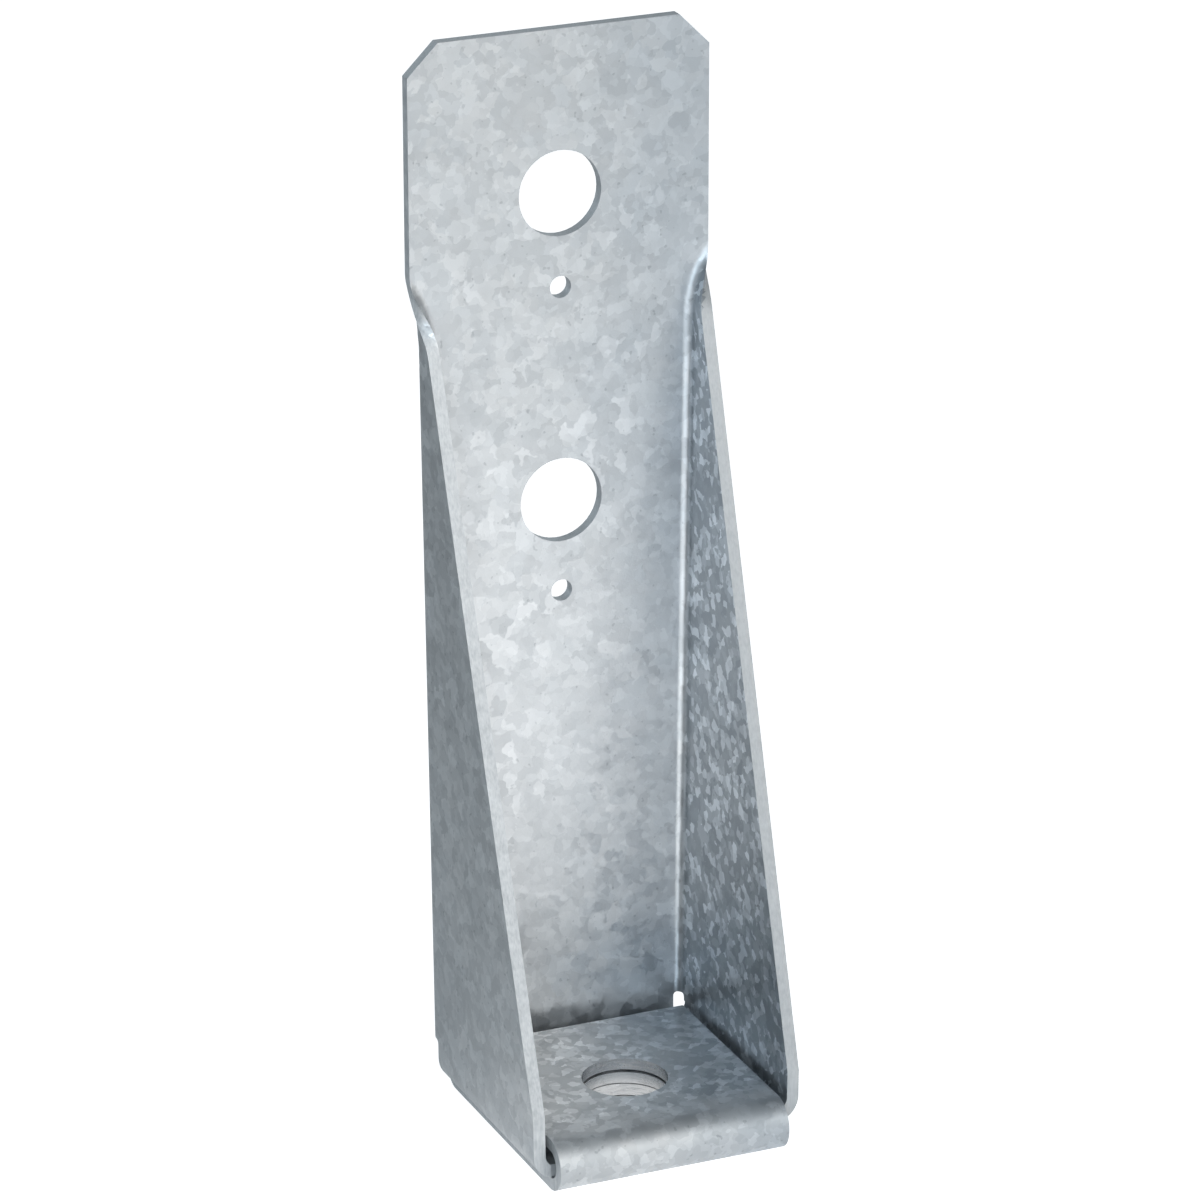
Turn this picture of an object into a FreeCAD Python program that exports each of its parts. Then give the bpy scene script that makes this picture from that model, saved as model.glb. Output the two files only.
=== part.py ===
import FreeCAD, Part
import Sketcher
import math
import os

# Hold down bracket for timber framing, folded from one piece of galvanised sheet.
# The tall back plate lies flat against a post and takes two stud bolts and two nails.
# Its foot turns forward as a strip, runs to the nose and folds back over itself as the seat.
# Two slanting side flanges turn forward from the plate, and their lips turn inward
# one above the other between the two layers of the strip.
# One anchor bolt passes through all four layers.
# X runs across the bracket, Y from front to back, Z up.
# The origin is the centre of the anchor hole on the underside. Millimetres.

os.makedirs("parts", exist_ok=True)
doc = FreeCAD.newDocument("bracket")

# Sizes
sheet = doc.addObject("Spreadsheet::Sheet", "sizes")
SIZES = [
    ("thick", "2.5", "sheet thickness"),
    ("bend_in", "1.7", "inside radius of the upright bends and of the foot"),
    ("lip_in", "2.6", "inside radius where the lips turn inward"),
    ("bend_out", "=thick + bend_in", "outside radius of the upright bends"),
    ("plate_w", "63.5", "width of the back plate"),
    ("plate_top", "220.5", "height of the back plate over the underside"),
    ("corner_cut", "6.4", "corner cut off at 45 degrees, along each edge"),
    ("anchor_back", "33.9", "anchor hole centre from the back face"),
    ("anchor_d", "17.46", "anchor hole"),
    ("stud_d", "17.46", "stud bolt holes"),
    ("stud_low", "123.7", "lower stud hole over the underside"),
    ("stud_pitch", "63.6", "from one stud hole to the other"),
    ("nail_d", "4.5", "nail holes"),
    ("nail_drop", "19.2", "nail hole under the stud hole it goes with"),
    ("foot_step", "3.2", "from the plate's side in to a flange's outer face, at the underside"),
    ("head_step", "1.38", "the same at the run-out, were the flange to go on straight"),
    ("strip_step", "3.85", "from a flange's outer face in to the side of the foot strip"),
    ("runout_z", "159.4", "height where the flanges start to run out into the plate"),
    ("runout_r", "24", "radius of the bend lines from there on"),
    ("runout_up", "14.9", "from there up to the plate's upright side"),
    ("level_up", "13", "from there up to where the cut edges lie flat in the plate again"),
    ("flange_depth", "54.8", "back face to the upright front edge of a flange"),
    ("head_depth", "8.17", "back face to the front edge of a flange at the run-out"),
    ("kink_z", "16", "height where the slanting edges start"),
    ("nose_out", "5.4", "outside radius of the nose"),
    ("nose_in", "=nose_out - thick", "inside radius of the nose"),
    ("nose_back", "53.8", "back face to the centre of the nose bend"),
    ("seat_clear", "4.7", "open gap behind the seat's rear edge"),
    ("lip_gap", "0.2", "play under each lip"),
    ("lip_reach", "20", "lips reach this far past the middle"),
    ("lip_back", "5.0", "back face to the rear edge of the lips"),
    ("lip_front", "53.9", "back face to the front edge of the lips inside the nose"),
    ("slot_top", "11.9", "top of the relief slots"),
    ("slot_end", "100", "angle round the bend where a slot ends"),
    ("slot_round", "0.9", "rounding at the top of a slot"),
    ("join_z", "16.5", "height where the strip is taken over by the plate"),
    ("drill_over", "5", "the drills run this far past the sheet on each side"),
    ("y_back", "=anchor_back", "back face"),
    ("y_face", "=y_back - thick", "front face of the back plate"),
    ("y_bend", "=y_back - bend_out", "front end of the foot bend"),
    ("y_nose", "=y_back - nose_back", "centre of the nose bend"),
    ("y_seat", "=y_face - seat_clear", "rear edge of the seat"),
    ("z_seat", "=2 * nose_out", "top of the seat"),
    ("z_under", "=z_seat - thick", "underside of the seat layer"),
    ("z_cut", "=plate_top - corner_cut", "lower end of a corner cut"),
    ("x_half", "=plate_w / 2", "half the plate's width"),
    ("x_cut", "=x_half - corner_cut", "inner end of a corner cut"),
    ("x_foot", "=x_half - foot_step", "outer face of a flange at the underside"),
    ("x_head", "=x_half - head_step", "outer face of a flange at the run-out"),
    ("x_strip", "=x_foot - strip_step", "half the strip's width"),
    ("z_straight", "=runout_z - 4", "top of the straight part of a flange"),
    ("z_side", "=runout_z + runout_up", "height where the plate's upright side starts"),
    ("z_lip_low", "=thick + lip_gap", "underside of the lower lip"),
    ("z_lip_high", "=2 * z_lip_low", "underside of the upper lip"),
]
for row, (alias, value, note) in enumerate(SIZES, start=1):
    sheet.set("A%d" % row, note)
    sheet.set("B%d" % row, value)
    sheet.setAlias("B%d" % row, alias)
doc.recompute()


def size(name):
    return float(sheet.get(name))


def point(x, y, z):
    return FreeCAD.Vector(x, y, z)


# Sketch outlines: every corner is placed from the origin by a named size
def signed(name):
    if name == "0":
        return 0.0
    if name.startswith("-"):
        return -size(name[1:])
    return size(name)


def expression(name):
    if name.startswith("-"):
        return "-sizes." + name[1:]
    return "sizes." + name


def fix(sketch, kind, geometry, end, name):
    value = signed(name)
    if name == "0":
        # the corner lies on an axis of the sketch
        axis = -1 if kind == "DistanceY" else -2
        sketch.addConstraint(Sketcher.Constraint("PointOnObject", geometry, end, axis))
        return
    index = sketch.addConstraint(Sketcher.Constraint(kind, -1, 1, geometry, end, value))
    label = "c%d" % index
    sketch.renameConstraint(index, label)
    sketch.setExpression("Constraints." + label, expression(name))


def draw(sketch, corners, arcs):
    # corners are pairs of size names; arcs give the centre and turn of the side that starts there
    spots = [(signed(a), signed(b)) for a, b in corners]
    count = len(spots)
    ends = []
    for k in range(count):
        a = spots[k]
        b = spots[(k + 1) % count]
        if k not in arcs:
            line = Part.LineSegment(point(a[0], a[1], 0), point(b[0], b[1], 0))
            ends.append((sketch.addGeometry(line, False), 1, 2))
            continue
        centre, turn = arcs[k]
        c = (signed(centre[0]), signed(centre[1]))
        radius = math.hypot(a[0] - c[0], a[1] - c[1])
        first, last = (a, b) if turn > 0 else (b, a)
        start = math.atan2(first[1] - c[1], first[0] - c[0])
        stop = math.atan2(last[1] - c[1], last[0] - c[0])
        circle = Part.Circle(point(c[0], c[1], 0), point(0, 0, 1), radius)
        arc = Part.ArcOfCircle(circle, start, stop if stop > start else stop + 2 * math.pi)
        index = sketch.addGeometry(arc, False)
        ends.append((index, 1, 2) if turn > 0 else (index, 2, 1))
    for k in range(count):
        here, begin, finish = ends[k]
        after, after_begin, after_finish = ends[(k + 1) % count]
        # a bend runs smoothly out of the flat before it
        kind = "Tangent" if (k + 1) % count in arcs else "Coincident"
        sketch.addConstraint(Sketcher.Constraint(kind, here, finish, after, after_begin))
    for k in range(count):
        here, begin, finish = ends[k]
        fix(sketch, "DistanceX", here, begin, corners[k][0])
        fix(sketch, "DistanceY", here, begin, corners[k][1])


def origin_plane(body, role):
    return [f for f in body.Origin.OriginFeatures if f.Role == role][0]


def new_sketch(body, role, name):
    sketch = body.newObject("Sketcher::SketchObject", name)
    sketch.AttachmentSupport = [(origin_plane(body, role), "")]
    sketch.MapMode = "FlatFace"
    return sketch


# Foot strip: rear bend, bottom layer, nose and seat layer
strip = doc.addObject("PartDesign::Body", "foot_strip")
side_view = new_sketch(strip, "YZ_Plane", "strip_side")
draw(
    side_view,
    [
        ("y_back", "join_z"),
        ("y_back", "bend_out"),
        ("y_bend", "0"),
        ("y_nose", "0"),
        ("y_nose", "z_seat"),
        ("y_seat", "z_seat"),
        ("y_seat", "z_under"),
        ("y_nose", "z_under"),
        ("y_nose", "thick"),
        ("y_bend", "thick"),
        ("y_face", "bend_out"),
        ("y_face", "join_z"),
    ],
    {
        1: (("y_bend", "bend_out"), -1),
        3: (("y_nose", "nose_out"), -1),
        7: (("y_nose", "nose_out"), 1),
        9: (("y_bend", "bend_out"), 1),
    },
)
strip_pad = strip.newObject("PartDesign::Pad", "strip_pad")
strip_pad.Profile = side_view
strip_pad.Midplane = True
strip_pad.setExpression("Length", "2 * sizes.x_strip")
doc.recompute()

# Back plate: as wide as the strip between the flanges, full width over the run-outs
plate = doc.addObject("PartDesign::Body", "back_plate")
front_view = new_sketch(plate, "XZ_Plane", "plate_front")
draw(
    front_view,
    [
        ("-x_strip", "join_z"),
        ("x_strip", "join_z"),
        ("x_strip", "z_side"),
        ("x_half", "z_side"),
        ("x_half", "z_cut"),
        ("x_cut", "plate_top"),
        ("-x_cut", "plate_top"),
        ("-x_half", "z_cut"),
        ("-x_half", "z_side"),
        ("-x_strip", "z_side"),
    ],
    {},
)
front_view.setExpression("AttachmentOffset.Base.z", "-sizes.y_back")
plate_pad = plate.newObject("PartDesign::Pad", "plate_pad")
plate_pad.Profile = front_view
plate_pad.setExpression("Length", "sizes.thick")
doc.recompute()

# Flanges. The straight part of each is the space between an outer and an inner block whose
# upright rear edges are rounded. The run-out above it is lofted through level sections.
THICK = size("thick")
R_OUT = size("bend_out")
R_IN = size("bend_in")
Y_BACK = size("y_back")
HALF_FOOT = size("x_foot")
LEAN = math.atan((size("x_head") - size("x_foot")) / size("runout_z"))
WALL = (math.sin(LEAN), math.cos(LEAN))
OUT = (math.cos(LEAN), -math.sin(LEAN))
X_IN = size("x_strip") - 10
FALL = (size("flange_depth") - size("head_depth")) / (size("runout_z") - size("kink_z"))


def wall_x(z):
    return HALF_FOOT + z * math.tan(LEAN)


def slant(z):
    # distance of a flange's front edge from the back face
    return size("flange_depth") - (z - size("kink_z")) * FALL


def block(inset, low, y_rear, y_front, radius):
    # low is the lower end of the wall's face; inset is measured inward from the outer face
    top = size("z_straight") + 5
    flat = [low, (wall_x(top) - inset / math.cos(LEAN), top), (X_IN, top), (X_IN, low[1]), low]
    outline = Part.makePolygon([point(x, y_rear, z) for x, z in flat])
    solid = Part.Face(outline).extrude(point(0, y_front - y_rear, 0))
    rear = []
    for edge in solid.Edges:
        at_rear = all(abs(v.Y - y_rear) < 1e-6 for v in edge.Vertexes)
        upright = all(v.X > X_IN + 1 for v in edge.Vertexes)
        if at_rear and upright:
            rear.append(edge)
    return solid.makeFillet(radius, rear)


def smooth(k):
    # 0 to 1, level at both ends
    k = min(1.0, max(0.0, k))
    return k * k * (3 - 2 * k)


def ease(z, low, high, slope):
    # smooth curve from one height to another: slope at the low end, upright at the high end
    span = high[1] - low[1]
    k = (z - low[1]) / span
    lead = k * (1 - k) * (1 - k) * span * slope
    return low[0] + smooth(k) * (high[0] - low[0]) + lead


def cut_edge(z):
    # middle of the sheet's cut edge at this height, from the bracket's middle and the back face
    low = size("runout_z")
    if z <= low:
        return (wall_x(z) - THICK / 2, slant(z))
    high = size("z_side")
    across = ease(z, (wall_x(low) - THICK / 2, low), (size("x_half"), high), math.tan(LEAN))
    depth = ease(z, (slant(low), low), (THICK / 2, high), -FALL)
    return (across, depth)


def cut_turn(z):
    # how far the sheet has turned out of the plate at its cut edge
    return math.pi / 2 * (1 - smooth((z - size("runout_z")) / size("level_up")))


def bend_start(z):
    # the bend line is straight, then curves outward on its radius
    up = max(0.0, z - size("runout_z"))
    radius = size("runout_r")
    return wall_x(z) - R_OUT + radius - math.sqrt(radius * radius - up * up)


def side_line(z, y, radius, corner):
    # One side of the sheet in a level section: round the bend, then straight to the cut
    # edge's corner. The bend widens as the flange gets shorter and lies down.
    start = point(bend_start(z), y, z)
    reach = corner.x - start.x
    drop = max(start.y - corner.y, 0.0001)
    room = reach * reach + drop * drop
    wide = room / (2.2 * drop)
    upright = 1 - smooth((z - size("runout_z")) / size("level_up"))
    radius = min(wide, wide + (radius - wide) * upright)
    turn = math.atan2(reach, radius - drop) - math.acos(radius / math.hypot(reach, radius - drop))
    end = start + point(radius * math.sin(turn), -radius * (1 - math.cos(turn)), 0)
    handle = 4 / 3 * math.tan(turn / 4) * radius
    course = point(math.cos(turn), -math.sin(turn), 0)
    return [start, start + point(handle, 0, 0), end - course * handle, end], [end, corner]


def section(z):
    # Level section of the bend and the flange, as five strips round its cut edge
    across, depth = cut_edge(z)
    turn = cut_turn(z)
    middle = point(across, Y_BACK - depth, z)
    square = point(math.sin(turn), math.cos(turn), 0) * (THICK / 2)
    back_bend, outside = side_line(z, Y_BACK, R_OUT, middle + square)
    front_bend, inside = side_line(z, Y_BACK - THICK, R_IN, middle - square)
    return [back_bend, outside, [middle + square, middle - square], inside[::-1], front_bend[::-1]]


def strip_edge(poles):
    curve = Part.BezierCurve()
    curve.setPoles(poles)
    return curve.toShape()


def cap(strips):
    # level end of the run-out, with the piece of the plate that it grows out of
    heel = point(X_IN, Y_BACK, strips[0][0].z)
    toe = point(X_IN, Y_BACK - THICK, heel.z)
    edges = [strip_edge(poles) for poles in strips]
    edges += [Part.makeLine(strips[-1][-1], toe), Part.makeLine(toe, heel)]
    return Part.Face(Part.Wire([Part.makeLine(heel, strips[0][0])] + edges)), heel, toe


def runout():
    # each strip is a smooth surface through its places in the level sections
    low = size("z_straight")
    heights = [low, (low + size("runout_z")) / 2]
    count = 10
    for k in range(count + 1):
        heights.append(size("runout_z") + size("runout_up") * k / count)
    rows = [section(z) for z in heights]
    steps = [(z - low) / (heights[-1] - low) for z in heights]
    faces = []
    rails = []
    for strip in zip(*rows):
        lines = []
        for poles in zip(*strip):
            line = Part.BSplineCurve()
            line.interpolate(Points=list(poles), Parameters=steps)
            lines.append(line)
        net = [line.getPoles() for line in lines]
        ends = [len(net), len(net)]
        across = lines[0].getMultiplicities()
        knots = lines[0].getKnots()
        skin = Part.BSplineSurface()
        skin.buildFromPolesMultsKnots(net, ends, across, [0, 1], knots, False, False, len(net) - 1, 3)
        faces.append(skin.toShape())
        rails += [lines[0], lines[-1]]
    bottom, heel, toe = cap(rows[0])
    top, heel_top, toe_top = cap(rows[-1])
    back = [Part.makeLine(heel, rails[0].StartPoint), rails[0].toShape()]
    back += [Part.makeLine(rails[0].EndPoint, heel_top), Part.makeLine(heel_top, heel)]
    front = [Part.makeLine(toe, rails[-1].StartPoint), rails[-1].toShape()]
    front += [Part.makeLine(rails[-1].EndPoint, toe_top), Part.makeLine(toe_top, toe)]
    inner_end = Part.makePolygon([heel, toe, toe_top, heel_top, heel])
    faces += [bottom, top, Part.Face(Part.Wire(back)), Part.Face(Part.Wire(front)), Part.Face(inner_end)]
    shell = Part.Shell(faces)
    shell.sewShape()
    return Part.Solid(shell)


def flange(z_lip):
    # Right flange, with its lip reaching to the left
    lip_out = size("lip_in") + THICK
    c_z = z_lip + lip_out
    c_x = wall_x(c_z) - lip_out / math.cos(LEAN)
    foot = (c_x + lip_out * OUT[0], c_z + lip_out * OUT[1])
    deep = Y_BACK - size("flange_depth")
    outer = block(0.0, foot, Y_BACK, deep - 1, R_OUT)
    below = (foot[0] - THICK * OUT[0] - 2 * WALL[0], foot[1] - THICK * OUT[1] - 2 * WALL[1])
    inner = block(THICK, below, Y_BACK - THICK, deep - 2, R_IN)
    wall = outer.cut(inner)
    # side view of the straight part: upright front edge, then slanting
    top = size("z_straight")
    front = -size("flange_depth")
    corners = [(1, -1), (front, -1), (front, size("kink_z")), (-slant(top), top), (1, top), (1, -1)]
    side_on = Part.makePolygon([point(0, Y_BACK + y, z) for y, z in corners])
    wall = wall.common(Part.Face(side_on).extrude(point(90, 0, 0)))
    wall = wall.fuse([runout()], 0.002)

    # lip: a quarter bend, then flat past the middle of the bracket
    inner_r = size("lip_in")
    tip = -size("lip_reach")
    slip = math.radians(-45) - LEAN / 2
    a = point(c_x + lip_out * OUT[0], 0, c_z + lip_out * OUT[1])
    a_mid = point(c_x + lip_out * math.cos(slip), 0, c_z + lip_out * math.sin(slip))
    b = point(c_x, 0, z_lip)
    c = point(tip, 0, z_lip)
    d = point(tip, 0, z_lip + THICK)
    e = point(c_x, 0, z_lip + THICK)
    f_mid = point(c_x + inner_r * math.cos(slip), 0, c_z + inner_r * math.sin(slip))
    f = point(c_x + inner_r * OUT[0], 0, c_z + inner_r * OUT[1])
    outline = Part.Wire(
        [
            Part.Arc(a, a_mid, b).toShape(),
            Part.makeLine(b, c),
            Part.makeLine(c, d),
            Part.makeLine(d, e),
            Part.Arc(e, f_mid, f).toShape(),
            Part.makeLine(f, a),
        ]
    )
    outline.translate(point(0, Y_BACK - size("lip_back"), 0))
    lip = Part.Face(outline).extrude(point(0, size("lip_back") - size("flange_depth"), 0))
    back = Y_BACK - size("lip_front")
    lip = lip.cut(Part.makeBox(100, 20, 20, point(size("x_strip") + 0.2 - 100, back - 20, 0)))
    wall = wall.fuse(lip)

    # relief slot round the foot of the upright bend, from the strip's side
    axis = wall_x(size("slot_top") / 2) - R_OUT
    ring_in = R_IN - 0.1
    ring_out = R_OUT + 1.0
    begin = math.radians(-30)
    finish = math.radians(size("slot_end"))
    middle = (begin + finish) / 2

    def polar(radius, turn):
        return point(axis + radius * math.sin(turn), Y_BACK - R_OUT + radius * math.cos(turn), -2)

    ring = Part.Wire(
        [
            Part.makeLine(polar(ring_in, begin), polar(ring_out, begin)),
            Part.Arc(polar(ring_out, begin), polar(ring_out, middle), polar(ring_out, finish)).toShape(),
            Part.makeLine(polar(ring_out, finish), polar(ring_in, finish)),
            Part.Arc(polar(ring_in, finish), polar(ring_in, middle), polar(ring_in, begin)).toShape(),
        ]
    )
    slot = Part.Face(ring).extrude(point(0, 0, size("slot_top") + 2))
    slot = slot.common(Part.makeBox(40, 60, 60, point(size("x_strip"), Y_BACK - 50, -10)))
    tops = []
    for edge in slot.Edges:
        flat = all(abs(v.Z - size("slot_top")) < 1e-6 for v in edge.Vertexes)
        near_end = all(abs(v.X - size("x_strip")) < 1e-6 for v in edge.Vertexes)
        far_end = all(v.Y < Y_BACK - R_OUT for v in edge.Vertexes)
        if flat and (near_end or far_end):
            tops.append(edge)
    slot = slot.makeFillet(size("slot_round"), tops)
    return wall.cut(slot)


right = flange(size("z_lip_high"))
left = flange(size("z_lip_low"))
left = left.mirror(point(0, 0, 0), point(1, 0, 0))
sides = []
for name, shape in (("right_flange", right), ("left_flange", left)):
    side = doc.addObject("Part::Feature", name)
    side.Shape = shape
    sides.append(side)

# One sheet
folded = doc.addObject("Part::MultiFuse", "folded_sheet")
folded.Shapes = [strip, plate] + sides
folded.Refine = True
doc.recompute()

# Holes
drills = []


def drill(name, diameter, through):
    pin = doc.addObject("Part::Cylinder", name)
    pin.setExpression("Radius", "sizes." + diameter + " / 2")
    pin.setExpression("Height", "sizes." + through + " + 2 * sizes.drill_over")
    drills.append(pin)
    return pin


anchor = drill("anchor_drill", "anchor_d", "z_seat")
anchor.setExpression("Placement.Base.z", "-sizes.drill_over")
for name, diameter, height in (
    ("stud_low_drill", "stud_d", "sizes.stud_low"),
    ("stud_high_drill", "stud_d", "sizes.stud_low + sizes.stud_pitch"),
    ("nail_low_drill", "nail_d", "sizes.stud_low - sizes.nail_drop"),
    ("nail_high_drill", "nail_d", "sizes.stud_low + sizes.stud_pitch - sizes.nail_drop"),
):
    pin = drill(name, diameter, "thick")
    pin.Placement = FreeCAD.Placement(point(0, 0, 0), FreeCAD.Rotation(point(1, 0, 0), -90))
    pin.setExpression("Placement.Base.y", "sizes.y_face - sizes.drill_over")
    pin.setExpression("Placement.Base.z", height)
holes = doc.addObject("Part::MultiFuse", "holes")
holes.Shapes = drills
bracket = doc.addObject("Part::Cut", "bracket")
bracket.Base = folded
bracket.Tool = holes
bracket.Refine = True
bracket.Label = "hold_down_bracket"
doc.recompute()

# Checks before the file is written
for item in doc.Objects:
    if "Invalid" in item.State or "Error" in item.State:
        raise RuntimeError("not computed: " + item.Label)
    shape = getattr(item, "Shape", None)
    if shape is not None and item.isDerivedFrom("Part::Feature"):
        if shape.isNull() or not shape.isValid():
            raise RuntimeError("bad shape: " + item.Label)
if len(bracket.Shape.Solids) != 1:
    raise RuntimeError("the bracket is not one piece")
bracket.Shape.exportStep("parts/hold_down_bracket.step")
box = bracket.Shape.BoundBox
print("volume %.1f" % bracket.Shape.Volume)
print("box %.3f %.3f %.3f to %.3f %.3f %.3f" % (box.XMin, box.YMin, box.ZMin, box.XMax, box.YMax, box.ZMax))
print("faces", len(bracket.Shape.Faces))
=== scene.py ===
import math

import bmesh
import bpy
from mathutils import Matrix, Vector
from mathutils.bvhtree import BVHTree


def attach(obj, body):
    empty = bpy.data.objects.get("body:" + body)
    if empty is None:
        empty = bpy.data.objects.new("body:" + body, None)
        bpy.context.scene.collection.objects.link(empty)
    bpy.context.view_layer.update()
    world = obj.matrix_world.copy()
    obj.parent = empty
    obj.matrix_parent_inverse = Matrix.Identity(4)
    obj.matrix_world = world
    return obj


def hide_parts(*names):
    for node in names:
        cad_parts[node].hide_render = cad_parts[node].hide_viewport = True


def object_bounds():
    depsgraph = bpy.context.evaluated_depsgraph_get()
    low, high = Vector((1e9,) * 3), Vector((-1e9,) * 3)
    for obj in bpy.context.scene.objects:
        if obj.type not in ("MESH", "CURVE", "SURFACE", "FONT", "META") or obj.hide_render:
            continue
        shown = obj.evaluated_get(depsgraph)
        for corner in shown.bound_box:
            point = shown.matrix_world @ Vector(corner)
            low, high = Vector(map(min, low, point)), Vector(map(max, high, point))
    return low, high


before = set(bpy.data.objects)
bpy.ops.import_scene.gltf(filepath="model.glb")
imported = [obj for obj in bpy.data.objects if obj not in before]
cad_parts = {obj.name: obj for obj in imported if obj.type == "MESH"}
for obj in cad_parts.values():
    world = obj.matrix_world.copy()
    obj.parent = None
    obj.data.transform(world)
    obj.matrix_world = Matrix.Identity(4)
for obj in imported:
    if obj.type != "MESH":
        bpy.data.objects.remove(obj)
cad_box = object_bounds()

# Folded sheet: the whole bracket is one blank of galvanised steel, 2.5 mm thick, sheared and
# punched flat and then folded cold. Its walls keep the mill's zinc coat, and the sheared edges
# and the punched holes show the steel's section.
SHEET = 0.0025
SHEET_NODE = "hold_down_bracket"
SAME_POINT = 2e-6
SAME_PLANE = math.radians(0.6)
UNDER_THE_SKIN = 2e-5
DEEPER_THAN_A_WALL = 1.3 * SHEET
WALL, SECTION = 0, 1


def put(name, data):
    """Put a new object in the scene."""
    thing = bpy.data.objects.new(name, data)
    bpy.context.scene.collection.objects.link(thing)
    return thing


blank = bmesh.new()
blank.from_mesh(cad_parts[SHEET_NODE].data)
bmesh.ops.remove_doubles(blank, verts=blank.verts, dist=SAME_POINT)
bmesh.ops.recalc_face_normals(blank, faces=blank.faces)

# a wall has its other side one thickness behind it, and a sheared edge has not
through = BVHTree.FromBMesh(blank)
for face in blank.faces:
    start = face.calc_center_median() - face.normal * UNDER_THE_SKIN
    behind = through.ray_cast(start, -face.normal)[3]
    face.material_index = SECTION if behind and behind > DEEPER_THAN_A_WALL else WALL
bmesh.ops.dissolve_limit(
    blank, angle_limit=SAME_PLANE, verts=blank.verts, edges=blank.edges, delimit={"MATERIAL"}
)
sheet_mesh = bpy.data.meshes.new("folded_sheet")
blank.to_mesh(sheet_mesh)
blank.free()
folded_sheet = put("folded_sheet", sheet_mesh)


# Zinc: crystals of two to five millimetres with ragged borders, some paler than the rest, each
# tilted its own way so that each reflects the room differently. The coat was laid hot on the
# coil before the sheet was cut and folded.
X, Y, Z = 0, 1, 2
RED, GREEN, BLUE = 0, 1, 2
MIDDLE = (0.5, 0.5, 0.5)
WHITE = (1, 1, 1, 1)


class Value:
    """A socket of a material, for sums written as they are read."""

    def __init__(self, finish, socket):
        self.finish = finish
        self.socket = socket

    def _sum(self, operation, first, second):
        return self.finish.add("ShaderNodeMath", {"operation": operation}, {0: first, 1: second})

    def __add__(self, other):
        return self._sum("ADD", self, other)

    def __radd__(self, other):
        return self._sum("ADD", other, self)

    def __mul__(self, other):
        return self._sum("MULTIPLY", self, other)

    def __rmul__(self, other):
        return self._sum("MULTIPLY", other, self)

    def __sub__(self, other):
        return self._sum("SUBTRACT", self, other)

    def __rsub__(self, other):
        return self._sum("SUBTRACT", other, self)


class Finish:
    """The nodes of one material, or of the room."""

    def __init__(self, owner):
        owner.use_nodes = True
        self.tree = owner.node_tree
        self.tree.nodes.clear()

    def add(self, kind, settings=None, inputs=None, output=0):
        node = self.tree.nodes.new(kind)
        for name, value in (settings or {}).items():
            if name == "stops":
                ramp = node.color_ramp
                while len(ramp.elements) < len(value):
                    ramp.elements.new(0.5)
                for stop, (place, colour) in zip(ramp.elements, value):
                    stop.position = place
                    stop.color = colour
            else:
                setattr(node, name, value)
        for name, value in (inputs or {}).items():
            if isinstance(value, Value):
                self.tree.links.new(value.socket, node.inputs[name])
            else:
                node.inputs[name].default_value = value
        return Value(self, node.outputs[output]) if node.outputs else None

    def vectors(self, operation, first, second):
        spot = "Scale" if operation == "SCALE" else 1
        return self.add("ShaderNodeVectorMath", {"operation": operation}, {0: first, spot: second})

    def along(self, place, axis):
        return self.add("ShaderNodeSeparateXYZ", None, {0: place}, axis)

    def length(self, place):
        return self.add("ShaderNodeVectorMath", {"operation": "LENGTH"}, {0: place}, 1)

    def noise(self, place, size, detail, output="Fac"):
        inputs = {"Vector": place, "Scale": 1 / size, "Detail": detail}
        return self.add("ShaderNodeTexNoise", None, inputs, output)

    def crystals(self, place, size):
        inputs = {"Vector": place, "Scale": 1 / size}
        return self.add("ShaderNodeTexVoronoi", None, inputs, "Color")

    def drift(self, place, size, reach):
        # pushes a pattern about by up to half of reach, so that its borders wander
        push = self.vectors("SUBTRACT", self.noise(place, size, 2.0, "Color"), MIDDLE)
        return self.vectors("SCALE", push, reach)

    def step(self, value, low, high, out_low=0.0, out_high=1.0):
        # goes smoothly from out_low to out_high while the value goes from low to high
        return self.add(
            "ShaderNodeMapRange",
            {"interpolation_type": "SMOOTHSTEP"},
            {
                "Value": value,
                "From Min": low,
                "From Max": high,
                "To Min": out_low,
                "To Max": out_high,
            },
        )

    def blend(self, factor, first, second):
        # a Mix node keeps its sockets for numbers, vectors and colours side by side
        inputs = {0: factor, 6: first, 7: second}
        return self.add("ShaderNodeMix", {"data_type": "RGBA"}, inputs, 2)

    def ramp(self, value, stops):
        return self.add("ShaderNodeValToRGB", {"stops": stops}, {"Fac": value})

    def channel(self, colour, which):
        return self.add("ShaderNodeSeparateColor", None, {"Color": colour}, which)

    def lean(self, tilts):
        # the face's own direction, tilted by each (colour, amount)
        way = self.add("ShaderNodeNewGeometry", output="Normal")
        for colour, amount in tilts:
            tilt = self.vectors("SCALE", self.vectors("SUBTRACT", colour, MIDDLE), amount)
            way = self.vectors("ADD", way, tilt)
        return self.add("ShaderNodeVectorMath", {"operation": "NORMALIZE"}, {0: way})

    def bump(self, height, strength, depth, **others):
        inputs = {"Strength": strength, "Distance": depth, "Height": height, **others}
        return self.add("ShaderNodeBump", None, inputs)

    def metal(self, colour, metallic, roughness, normal):
        inputs = {"Metallic": metallic, "Roughness": roughness, "Normal": normal}
        return self.add("ShaderNodeBsdfPrincipled", None, {"Base Color": colour, **inputs})

    def rays(self, kind):
        return self.add("ShaderNodeLightPath", output="Is " + kind + " Ray")

    def end(self, surface, kind="ShaderNodeOutputMaterial"):
        self.add(kind, None, {"Surface": surface})


zinc = bpy.data.materials.new("galvanised_zinc")
coat = Finish(zinc)
place = coat.add("ShaderNodeTexCoord", output="Object")

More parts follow.
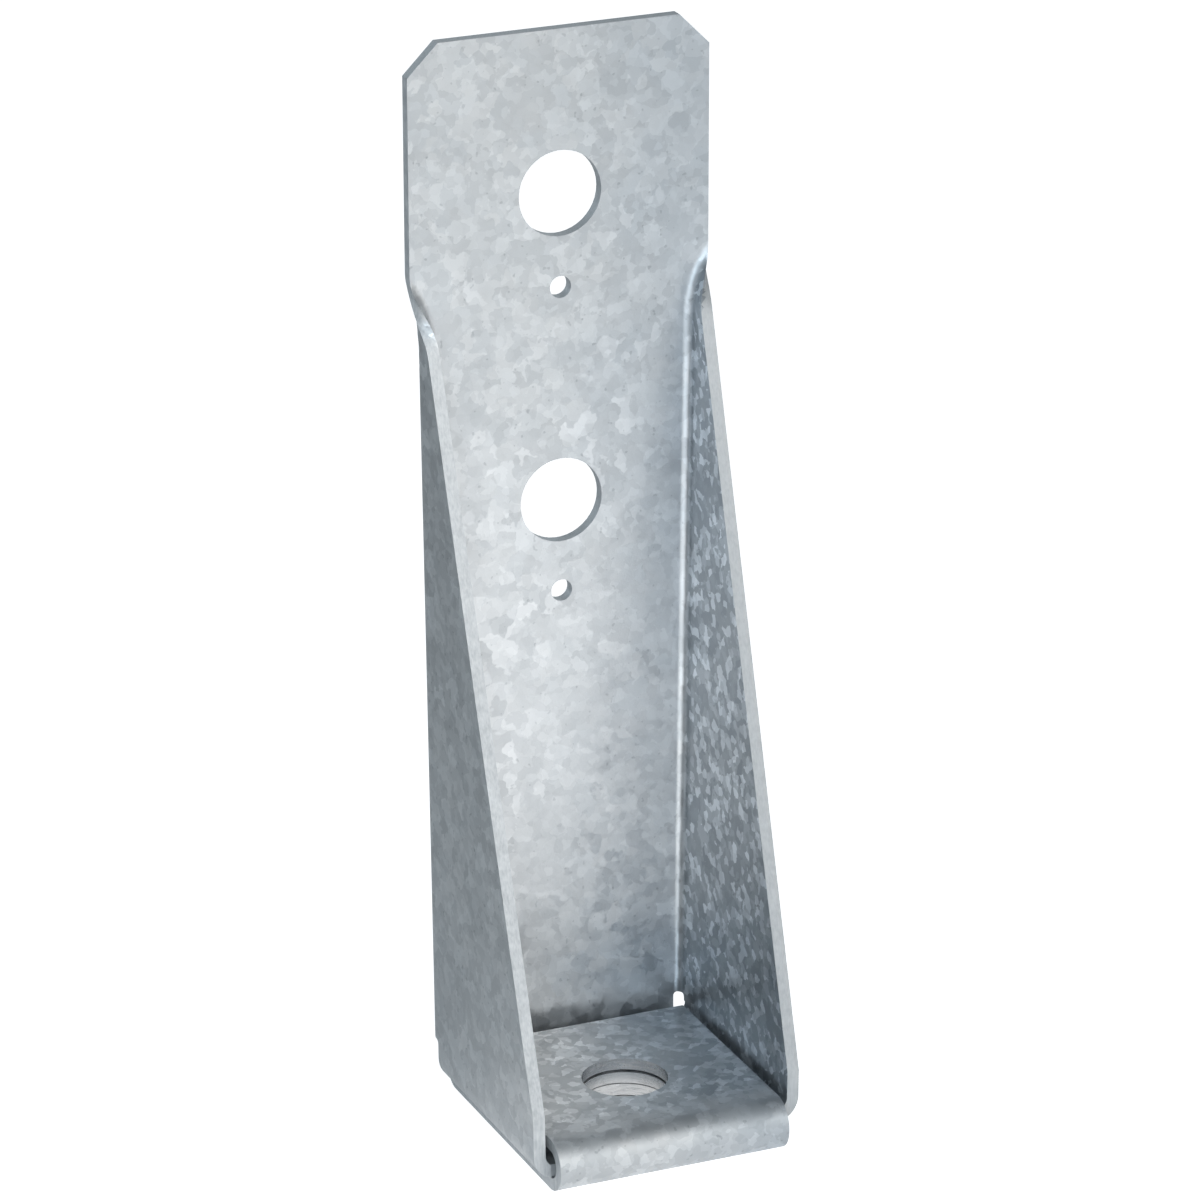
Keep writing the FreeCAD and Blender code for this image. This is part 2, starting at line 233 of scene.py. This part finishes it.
# large and small crystals, each with a chance colour of its own, and how far borders wander
FLAKE, SMALL_FLAKE = 0.0036, 0.0017
RAGGED, FRAYED, GENTLE = (0.0032, 0.0058), (0.0010, 0.0006), (0.0013, 0.0013)
CLOUD, GRAIN, SPECK = (0.016, 3.0), (0.0004, 2.0), (0.0013, 1.0)
ragged = coat.vectors("ADD", place, coat.drift(place, *RAGGED))
ragged = coat.vectors("ADD", ragged, coat.drift(place, *FRAYED))
flake = coat.crystals(ragged, FLAKE)
gentle = coat.vectors("ADD", place, coat.drift(place, *GENTLE))
small = coat.crystals(gentle, SMALL_FLAKE)
cloud = coat.noise(place, *CLOUD)
grain = coat.noise(place, *GRAIN)

# how pale the zinc is, from 0 to 1: pale crystals, fine ones, wide clouds and a few dark specks
PALE_CRYSTALS, FINE_CRYSTALS, SPECKS = (0.50, 0.72), (0.35, 0.80), (0.69, 0.75)
PALE_PART, FINE_PART, CLOUD_PART, SPECK_PART = 0.42, 0.26, 0.42, 0.24
CONTRAST = 0.42
speck = coat.step(coat.noise(place, *SPECK), *SPECKS)
pale = coat.step(coat.channel(flake, RED), *PALE_CRYSTALS)
fine = coat.step(coat.channel(small, GREEN), *FINE_CRYSTALS)
crystals = pale * PALE_PART + fine * FINE_PART + cloud * CLOUD_PART
tone = 0.5 + CONTRAST * (crystals - 0.5) - SPECK_PART * speck

# the sides of the bracket that differ, each by where it starts and where it is whole
IN_FRONT_OF_PLATE = (0.0308, 0.0296)
RIGHT_FLANGE = (0.0250, 0.0262)
INSIDE_LEFT_FLANGE = (-0.0268, -0.0258)
UP_TO_SEAT_TOP = (0.0130, 0.0112)
OVER_LIPS = (0.0085, 0.0095)
TURN_OF_NOSE = (-0.013, -0.019)
across = coat.along(place, X)
depth = coat.along(place, Y)
height = coat.along(place, Z)
before_plate = coat.step(depth, *IN_FRONT_OF_PLATE)
side = coat.step(across, *RIGHT_FLANGE) * before_plate
low = coat.step(height, *UP_TO_SEAT_TOP)
nose = low * coat.step(depth, *TURN_OF_NOSE)
upper = coat.step(height, *OVER_LIPS) * coat.step(across, *INSIDE_LEFT_FLANGE) * before_plate
seat = low * upper * (1 - nose) * (1 - side)

# small pale crystals, partly the zinc's own and partly painted glints, stand out on the right
# flange and on the seat, over a darker ground of painted shade
SPARSE_CRYSTALS = (0.50, 0.95)
SPARSE_PART, PAINTED_SHADE_GROUND, MORE_CONTRAST = 0.78, 0.43, 0.6
SEAT_SHARE, SEAT_PAINTED_SHADE, NOSE_PAINTED_SHADE = 0.55, 0.19, 0.07
sparse = coat.step(coat.channel(small, RED), *SPARSE_CRYSTALS)
crystals_over_painted_shade = SPARSE_PART * sparse - PAINTED_SHADE_GROUND + MORE_CONTRAST * (tone - 0.5)
tone = tone + (side + SEAT_SHARE * seat) * crystals_over_painted_shade
# painted shade: the seat and the nose are painted darker
tone = tone - SEAT_PAINTED_SHADE * seat - NOSE_PAINTED_SHADE * nose

# painted light: the lower plate, between the flanges, is painted paler
PLATE_FACE, FROM_MIDWAY_DOWN, OVER_SEAT = (0.0290, 0.0310), (0.15, 0.06), (0.016, 0.034)
LOW_PLATE_PAINTED_LIGHT = 0.09
painted_light_low_plate = coat.step(depth, *PLATE_FACE)
painted_light_low_plate = painted_light_low_plate * coat.step(height, *FROM_MIDWAY_DOWN) * coat.step(height, *OVER_SEAT)
tone = tone + LOW_PLATE_PAINTED_LIGHT * painted_light_low_plate
ZINC_COLOURS = [
    (0.0, (0.38, 0.395, 0.41, 1)),
    (0.5, (0.635, 0.647, 0.658, 1)),
    (1.0, (0.89, 0.895, 0.90, 1)),
]
colour = coat.ramp(tone, ZINC_COLOURS)

# painted shade: the coat is painted a little darker and bluer along its right side, where the
# light falls off, and less so on the lower plate, which is painted paler
FROM_MIDDLE_TO_RIGHT = (0.005, 0.045)
RAGGED_BY_CLOUD = 0.03
LOW_PLATE_LESS_PAINTED_SHADE = 0.9
PAINTED_SHADE_TINT = (0.77, 0.805, 0.84, 1)
painted_shade_on_right = coat.step(across + cloud * RAGGED_BY_CLOUD, *FROM_MIDDLE_TO_RIGHT)
painted_shade_on_right = painted_shade_on_right * (1 - LOW_PLATE_LESS_PAINTED_SHADE * painted_light_low_plate)
colour = coat.vectors("MULTIPLY", colour, coat.blend(painted_shade_on_right, WHITE, PAINTED_SHADE_TINT))

# the zinc is stretched duller where the sheet turns tightly: at the nose and at both necks
NECK_ON_RIGHT, NECK_ON_LEFT = (0.021, 0.026), (-0.021, -0.026)
NECK_BOTTOM, NECK_TOP = (0.148, 0.156), (0.182, 0.172)
FLAKE_PART, GRAIN_PART = 0.6, 0.4
PATCHES, BRIGHT_TO_DULL = (0.2, 0.8), (0.32, 0.42)
NOSE_DULLER, NECK_DULLER = 0.22, 0.12
necks = coat.step(across, *NECK_ON_RIGHT) + coat.step(across, *NECK_ON_LEFT)
necks = necks * coat.step(height, *NECK_BOTTOM) * coat.step(height, *NECK_TOP)
patchy = coat.channel(flake, BLUE) * FLAKE_PART + grain * GRAIN_PART
dull = coat.step(patchy, *PATCHES, *BRIGHT_TO_DULL)
dull = dull + NOSE_DULLER * nose + NECK_DULLER * necks

# milky crystals mirror the room less than clear ones, and each leans its own way
MILKY_CRYSTALS = (0.35, 0.85)
CLEAR_METAL, MILKY_LESS, FINE_LESS = 0.95, 0.22, 0.08
FLAKE_TILT, SMALL_FLAKE_TILT = 0.09, 0.05
GRAIN_STRENGTH, GRAIN_DEPTH = 0.18, 0.00006
milky = coat.step(coat.channel(flake, GREEN), *MILKY_CRYSTALS)
mirror = CLEAR_METAL - MILKY_LESS * milky - FINE_LESS * fine
leaning = coat.lean([(flake, FLAKE_TILT), (small, SMALL_FLAKE_TILT)])
surface = coat.bump(grain, GRAIN_STRENGTH, GRAIN_DEPTH, Normal=leaning)
coat.end(coat.metal(colour, mirror, dull, surface))

# Sheared edges: the blade and the punch leave bare steel with zinc smeared over it in patches
# and fine lines, paler and duller than the walls and without crystals. The bore of the anchor
# hole is brighter, partly by its smoother metal and partly by painted light from below, with lines
# round it and painted shadow in the seam under the seat.
UPRIGHT_LINES, LINE, SMEAR = (1.0, 1.0, 0.12), (0.00035, 2.0), (0.0022, 3.0)
LINE_PART, SMEAR_PART = 0.45, 0.55
STEEL_COLOURS = [
    (0.36, (0.49, 0.505, 0.52, 1)),
    (0.50, (0.59, 0.60, 0.61, 1)),
    (0.66, (0.69, 0.695, 0.70, 1)),
]
sheared = bpy.data.materials.new("sheared_edge")
cut = Finish(sheared)
place = cut.add("ShaderNodeTexCoord", output="Object")
lines = cut.add("ShaderNodeMapping", None, {"Vector": place, "Scale": UPRIGHT_LINES})
drawn = cut.noise(lines, *LINE)
smear = cut.noise(place, *SMEAR)
colour = cut.ramp(drawn * LINE_PART + smear * SMEAR_PART, STEEL_COLOURS)

# like the coat, the section is painted darker on the right, as painted shade
LEFT_TO_RIGHT = (-0.010, 0.026)
PAINTED_SHADE_SHARE = 0.45
PAINTED_SHADE_STEEL = (0.36, 0.38, 0.40, 1)
across = cut.along(place, X)
colour = cut.blend(cut.step(across, *LEFT_TO_RIGHT, 0.0, PAINTED_SHADE_SHARE), colour, PAINTED_SHADE_STEEL)

# the bore is painted brighter towards its bottom, as painted light from below, greyer through the
# seat, and dark with painted shadow in the seam under the seat
BORE_REACH = (0.0096, 0.0091)
SEAM_BOTTOM, SEAM_TOP = (0.00770, 0.00788), (0.00850, 0.00832)
DOWN_THE_BORE = (0.0082, 0.0045)
LEVEL = (1, 1, 0)
LINES_ROUND, RING, RING_SHARE = (0.10, 0.10, 1.0), (0.00030, 3.0), (0.30, 0.55, 0.35, 1.0)
GREY_STEEL, STEEL_PAINTED_LIT_FROM_BELOW = (0.40, 0.43, 0.46, 1), (0.90, 0.90, 0.90, 1)
SEAM_PAINTED_SHADOW = (0.02, 0.02, 0.025, 1)
beside = cut.length(cut.vectors("MULTIPLY", place, LEVEL))
bore = cut.step(beside, *BORE_REACH)
height = cut.along(place, Z)
seam = bore * cut.step(height, *SEAM_BOTTOM) * cut.step(height, *SEAM_TOP)
turned = cut.add("ShaderNodeMapping", None, {"Vector": place, "Scale": LINES_ROUND})
rings = cut.noise(turned, *RING)
painted_light_in_bore = cut.blend(cut.step(height, *DOWN_THE_BORE), GREY_STEEL, STEEL_PAINTED_LIT_FROM_BELOW)
colour = cut.blend(bore * cut.step(rings, *RING_SHARE), colour, painted_light_in_bore)
colour = cut.blend(seam, colour, SEAM_PAINTED_SHADOW)

EDGE_METAL, BORE_METAL = 0.35, 0.5
SMEARS_DULL, BORE_SMOOTHER = (0.3, 0.7, 0.42, 0.54), 0.24
LINE_STRENGTH, LINE_DEPTH = 0.35, 0.00003
polished = bore * (1 - seam)
bright = EDGE_METAL + BORE_METAL * polished
dull = cut.step(smear, *SMEARS_DULL) - BORE_SMOOTHER * polished
relief = drawn * (1 - bore) + rings * bore
surface = cut.bump(relief, LINE_STRENGTH, LINE_DEPTH)
cut.end(cut.metal(colour, bright, dull, surface))

# Finished bracket: handling wears every corner of the sheet slightly round, and the walls stay
# flat up to it. It stands for the one solid of the CAD model.
CORNER_WEAR = 0.00022
FOLD_LIMIT = math.radians(38)
sheet_mesh.materials.append(zinc)
sheet_mesh.materials.append(sheared)
wear = folded_sheet.modifiers.new("worn_corners", "BEVEL")
wear.width = CORNER_WEAR
wear.segments = 2
wear.limit_method = "ANGLE"
wear.angle_limit = FOLD_LIMIT
wear.material = SECTION
flatness = folded_sheet.modifiers.new("flat_walls", "WEIGHTED_NORMAL")
flatness.weight = 100
finished = bpy.data.meshes.new_from_object(
    folded_sheet.evaluated_get(bpy.context.evaluated_depsgraph_get())
)
folded_sheet.modifiers.clear()
# rounding can leave a point a micron behind the flat back, where the bracket meets the post
back = cad_box[1][1]
for point in finished.vertices:
    point.co.y = min(point.co.y, back)
folded_sheet.data = finished
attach(folded_sheet, "root")
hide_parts(SHEET_NODE)

# Table: the photographer's wide pale table. The camera sees it white, with the bracket's faint
# shadow. The metal shows it too, through a glow seen only in reflections: white in front, dim
# behind and far off on the right, with a glowing spot under the anchor hole that paints light into
# the bore.
TABLE_HALF = 6.0
TABLE_DROP = 0.0002
SIDES = ((-1, -1), (1, -1), (1, 1), (-1, 1))
IN_FRONT, FAR_OFF, ON_RIGHT = (0.06, -0.10), (-0.20, -0.45), (-0.15, 0.10)
UNDER_HOLE = (0.011, 0.009)
SEEN_GLOW, FAR_LESS, REAR_GLOW, HOLE_GLOW = 0.86, 0.9, 0.17, 0.13
PAPER = (0.8, 0.8, 0.8, 1)
corners = [(x * TABLE_HALF, y * TABLE_HALF, -TABLE_DROP) for x, y in SIDES]
table_mesh = bpy.data.meshes.new("pale_table")
table_mesh.from_pydata(corners, [], [(0, 1, 2, 3)])
table = put("pale_table", table_mesh)
table_top = bpy.data.materials.new("pale_table_top")
top = Finish(table_top)
spot = top.add("ShaderNodeTexCoord", output="Object")
across = top.along(spot, X)
back = top.along(spot, Y)
in_front = top.step(back, *IN_FRONT)
far_off = top.step(back, *FAR_OFF)
on_right = top.step(across, *ON_RIGHT)
white = in_front * (1 - FAR_LESS * far_off * on_right)
white = white + REAR_GLOW * (1 - in_front) * on_right
white = white + HOLE_GLOW * top.step(top.length(spot), *UNDER_HOLE)
seen = (top.rays("Camera") + top.rays("Transmission")) * SEEN_GLOW
mirrored = top.rays("Glossy") * white
glow = top.add("ShaderNodeEmission", None, {"Color": WHITE, "Strength": seen + mirrored})
matt = top.add("ShaderNodeBsdfDiffuse", None, {"Color": PAPER})
top.end(top.add("ShaderNodeAddShader", None, {0: glow, 1: matt}))
table_mesh.materials.append(table_top)

# Room: dim cool walls, a paler ceiling, and a pale backdrop behind the bracket. Seen straight on
# it is white, like the table.
COOL = (0.8, 0.92, 1, 1)
BACKDROP_FRONT, BACKDROP_TOP = (0.1, 0.7), (0.65, 0.25)
WALL_GLOW, CEILING_GLOW, BACKDROP_GLOW = 0.06, 0.12, 0.85
room = bpy.data.worlds.new("studio")
bpy.context.scene.world = room
walls = Finish(room)
way = walls.add("ShaderNodeTexCoord", output="Generated")
height = walls.along(way, Z)
depth = walls.along(way, Y)
ceiling = walls.step(height, 0.0, 1.0)
backdrop = walls.step(depth, *BACKDROP_FRONT) * walls.step(height, *BACKDROP_TOP)
fill = WALL_GLOW + CEILING_GLOW * ceiling + BACKDROP_GLOW * backdrop
seen = walls.rays("Camera") + walls.rays("Transmission")
tint = walls.blend(seen, COOL, WHITE)
glow = fill * (1 - seen) + seen
light = walls.add("ShaderNodeBackground", None, {"Color": tint, "Strength": glow})
walls.end(light, "ShaderNodeOutputWorld")

# Lamps: a large soft box in front on the right, and a cool one on the left, half as wide. Both
# are turned to the middle of the bracket, and the camera doesn't see them.
AIM = Vector((0, 0, 0.1))
for name, spot, width, height, watts, tint in (
    ("right_soft_box", (0.5, -1.3, 0.75), 1.2, 0.9, 9.3, (1.0, 0.985, 0.95)),
    ("left_soft_box", (-0.6, -1.1, 0.5), 0.6, 0.8, 8.6, (0.80, 0.915, 1.0)),
):
    lamp = bpy.data.lights.new(name, "AREA")
    lamp.shape = "RECTANGLE"
    lamp.size = width
    lamp.size_y = height
    lamp.energy = watts
    lamp.color = tint
    box = put(name, lamp)
    box.location = spot
    box.rotation_euler = (AIM - box.location).to_track_quat("-Z", "Y").to_euler()
    box.visible_camera = False

# Camera: a long lens, placed by fitting the bracket's edges to the picture. The picture's middle
# lies between pixels, so the lens is shifted by half a pixel.
YAW = math.radians(23.404)
PITCH = math.radians(21.127)
ROLL = math.radians(-0.086)
FOCAL_PIXELS = 6127.37
PICTURE = 1200
SENSOR = 36.0
DISTANCE = 1.22742
TARGET = Vector((0.008419, 0.031379, 0.100980))
NEAR, FAR = 0.01, 50
ahead = Vector(
    (math.sin(YAW) * math.cos(PITCH), math.cos(YAW) * math.cos(PITCH), -math.sin(PITCH))
)
level_right = Vector((math.cos(YAW), -math.sin(YAW), 0))
level_up = level_right.cross(ahead)
right = level_right * math.cos(ROLL) + level_up * math.sin(ROLL)
up = level_up * math.cos(ROLL) - level_right * math.sin(ROLL)
lens = bpy.data.cameras.new("camera")
lens.sensor_width = SENSOR
lens.lens = FOCAL_PIXELS * SENSOR / PICTURE
lens.clip_start = NEAR
lens.clip_end = FAR
lens.shift_x = -0.5 / PICTURE
lens.shift_y = 0.5 / PICTURE
camera = put("camera", lens)
axes = Matrix((right, up, -ahead)).transposed().to_4x4()
camera.matrix_world = Matrix.Translation(TARGET - ahead * DISTANCE) @ axes
bpy.context.scene.camera = camera
bpy.context.scene.view_settings.view_transform = "Standard"
